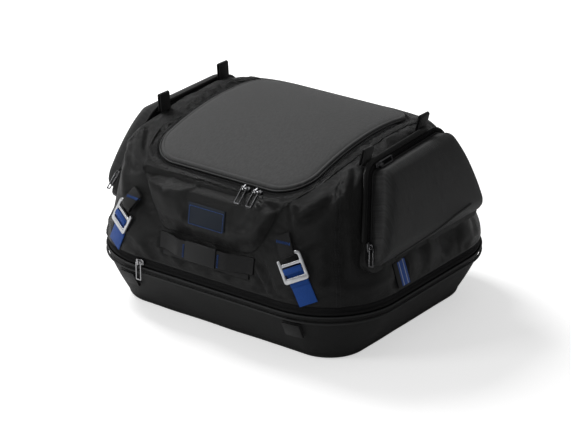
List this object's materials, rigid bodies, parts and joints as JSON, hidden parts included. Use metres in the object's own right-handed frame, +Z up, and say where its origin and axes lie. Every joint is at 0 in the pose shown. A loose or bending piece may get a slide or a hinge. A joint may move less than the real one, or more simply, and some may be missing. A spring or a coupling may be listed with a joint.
{
  "type": "motorcycle rear cargo bag",
  "caption": "Wide soft cargo bag with a moulded tub, expansion zip, zipped lid, moulded side pockets, grab handle and hooked compression straps",
  "frame": {"origin": "middle of the flat underside that rests on the rack", "axes": "+X across the bag to its right side, +Y to its back, +Z up; the handle and the blank patch face -Y"},
  "size_m": [0.5134, 0.4456, 0.3099],
  "materials": {
    "tub_fabric": "coated heavy weave",
    "piping": "matt piping",
    "zip_tape": "woven tape",
    "body_fabric": "matt coated weave",
    "lid_fabric": "matt grey moulded weave",
    "bib_fabric": "matt coated weave",
    "patch": "soft matt patch, left blank",
    "moulded_cover": "weave over moulded foam",
    "pocket_frame": "folded weave",
    "blue_webbing": "ribbed webbing",
    "black_webbing": "ribbed webbing",
    "grip_rubber": "soft matt sleeve",
    "board": "stiffening board",
    "satin_aluminium": "satin",
    "gunmetal": "dark plated",
    "bright_metal": "bright plated"
  },
  "bodies": {
    "bag": {"base_board": "board", "base_tab_back_left": "black_webbing", "base_tab_back_right": "black_webbing", "base_tab_front_left": "black_webbing", "base_tab_front_right": "black_webbing", "base_tub": "tub_fabric", "base_zip_band": "zip_tape", "black_loop_back_left": "black_webbing", "black_loop_back_right": "black_webbing", "black_loop_front_left": "black_webbing", "black_loop_front_right": "black_webbing", "blank_patch": "patch", "blue_strap_back_left": "blue_webbing", "blue_strap_back_right": "blue_webbing", "blue_strap_front_left": "blue_webbing", "blue_strap_front_right": "blue_webbing", "body_shell": "body_fabric", "front_bib": "bib_fabric", "handle_base_strip": "piping", "handle_grip": "grip_rubber", "handle_strap": "black_webbing", "hook_back_left": "satin_aluminium", "hook_back_right": "satin_aluminium", "hook_front_left": "satin_aluminium", "hook_front_right": "satin_aluminium", "lid_zip_tape": "zip_tape", "pocket_frame_left": "pocket_frame", "pocket_frame_right": "pocket_frame", "pocket_zip_tape_left": "zip_tape", "pocket_zip_tape_right": "zip_tape", "shoulder_loop_back_left": "black_webbing", "shoulder_loop_back_right": "black_webbing", "shoulder_loop_front_left": "black_webbing", "shoulder_loop_front_right": "black_webbing", "side_tab_left": "blue_webbing", "side_tab_right": "blue_webbing", "tub_piping": "piping"},
    "lid": {"lid_panel": "lid_fabric", "lid_piping": "piping"},
    "pocket_right": {"pocket_cover_right": "moulded_cover"},
    "pocket_left": {"pocket_cover_left": "moulded_cover"},
    "lid_left_slider": {"lid_left_slider": "gunmetal"},
    "lid_left_puller": {"lid_left_puller": "gunmetal"},
    "lid_right_slider": {"lid_right_slider": "gunmetal"},
    "lid_right_puller": {"lid_right_puller": "gunmetal"},
    "base_slider": {"base_slider": "bright_metal"},
    "base_puller": {"base_puller": "bright_metal"},
    "pocket_right_front_slider": {"pocket_front_slider_right": "gunmetal"},
    "pocket_right_front_puller": {"pocket_front_puller_right": "gunmetal"},
    "pocket_right_top_slider": {"pocket_top_slider_right": "gunmetal"},
    "pocket_right_top_puller": {"pocket_top_puller_right": "gunmetal"},
    "pocket_left_front_slider": {"pocket_front_slider_left": "gunmetal"},
    "pocket_left_front_puller": {"pocket_front_puller_left": "gunmetal"},
    "pocket_left_top_slider": {"pocket_top_slider_left": "gunmetal"},
    "pocket_left_top_puller": {"pocket_top_puller_left": "gunmetal"}
  },
  "joints": [
    {"name": "lid_hinge", "type": "hinge", "parent": "bag", "child": "lid", "pos_m": [0, 0.1245, 0.27723], "axis": [-1, 0, 0], "range_deg": [0, 105]},
    {"name": "pocket_right_hinge", "type": "hinge", "parent": "bag", "child": "pocket_right", "pos_m": [0.23586, 0, 0.1484], "axis": [0, 1, 0], "range_deg": [0, 70]},
    {"name": "pocket_left_hinge", "type": "hinge", "parent": "bag", "child": "pocket_left", "pos_m": [-0.23586, 0, 0.1484], "axis": [0, -1, 0], "range_deg": [0, 70]},
    {"name": "lid_left_slide", "type": "slide", "parent": "bag", "child": "lid_left_slider", "axis": [-1, 0, 0], "range_m": [0, 0.125]},
    {"name": "lid_left_puller_hinge", "type": "hinge", "parent": "lid_left_slider", "child": "lid_left_puller", "pos_m": [0.053, -0.18848, 0.24283], "axis": [-1, 0, 0], "range_deg": [0, 110]},
    {"name": "lid_right_slide", "type": "slide", "parent": "bag", "child": "lid_right_slider", "axis": [1, 0, 0], "range_m": [0, 0.01]},
    {"name": "lid_right_puller_hinge", "type": "hinge", "parent": "lid_right_slider", "child": "lid_right_puller", "pos_m": [0.074, -0.18848, 0.24283], "axis": [-1, 0, 0], "range_deg": [0, 110]},
    {"name": "base_slide", "type": "slide", "parent": "bag", "child": "base_slider", "axis": [1, 0, 0], "range_m": [0, 0.24]},
    {"name": "base_puller_hinge", "type": "hinge", "parent": "base_slider", "child": "base_puller", "pos_m": [-0.122, -0.21975, 0.09025], "axis": [-1, 0, 0], "range_deg": [0, 110]},
    {"name": "pocket_right_front_slide", "type": "slide", "parent": "bag", "child": "pocket_right_front_slider", "axis": [-0.2893, 0.4384, 0.8509], "range_m": [0, 0.098]},
    {"name": "pocket_right_front_puller_hinge", "type": "hinge", "parent": "pocket_right_front_slider", "child": "pocket_right_front_puller", "pos_m": [0.23325, -0.13332, 0.17764], "axis": [-0.1411, -0.8988, 0.4151], "range_deg": [0, 110]},
    {"name": "pocket_right_top_slide", "type": "slide", "parent": "bag", "child": "pocket_right_top_slider", "axis": [-0.0147, 0.999, 0.0432], "range_m": [0, 0.124]},
    {"name": "pocket_right_top_puller_hinge", "type": "hinge", "parent": "pocket_right_top_slider", "child": "pocket_right_top_puller", "pos_m": [0.20081, -0.06527, 0.27308], "axis": [0.3216, 0.0457, -0.9458], "range_deg": [0, 110]},
    {"name": "pocket_left_front_slide", "type": "slide", "parent": "bag", "child": "pocket_left_front_slider", "axis": [0.2893, 0.4384, 0.8509], "range_m": [0, 0.098]},
    {"name": "pocket_left_front_puller_hinge", "type": "hinge", "parent": "pocket_left_front_slider", "child": "pocket_left_front_puller", "pos_m": [-0.23325, -0.13332, 0.17764], "axis": [-0.1411, 0.8988, -0.4151], "range_deg": [0, 110]},
    {"name": "pocket_left_top_slide", "type": "slide", "parent": "bag", "child": "pocket_left_top_slider", "axis": [0.0147, 0.999, 0.0432], "range_m": [0, 0.124]},
    {"name": "pocket_left_top_puller_hinge", "type": "hinge", "parent": "pocket_left_top_slider", "child": "pocket_left_top_puller", "pos_m": [-0.20081, -0.06527, 0.27308], "axis": [0.3216, -0.0457, 0.9458], "range_deg": [0, 110]}
  ]
}
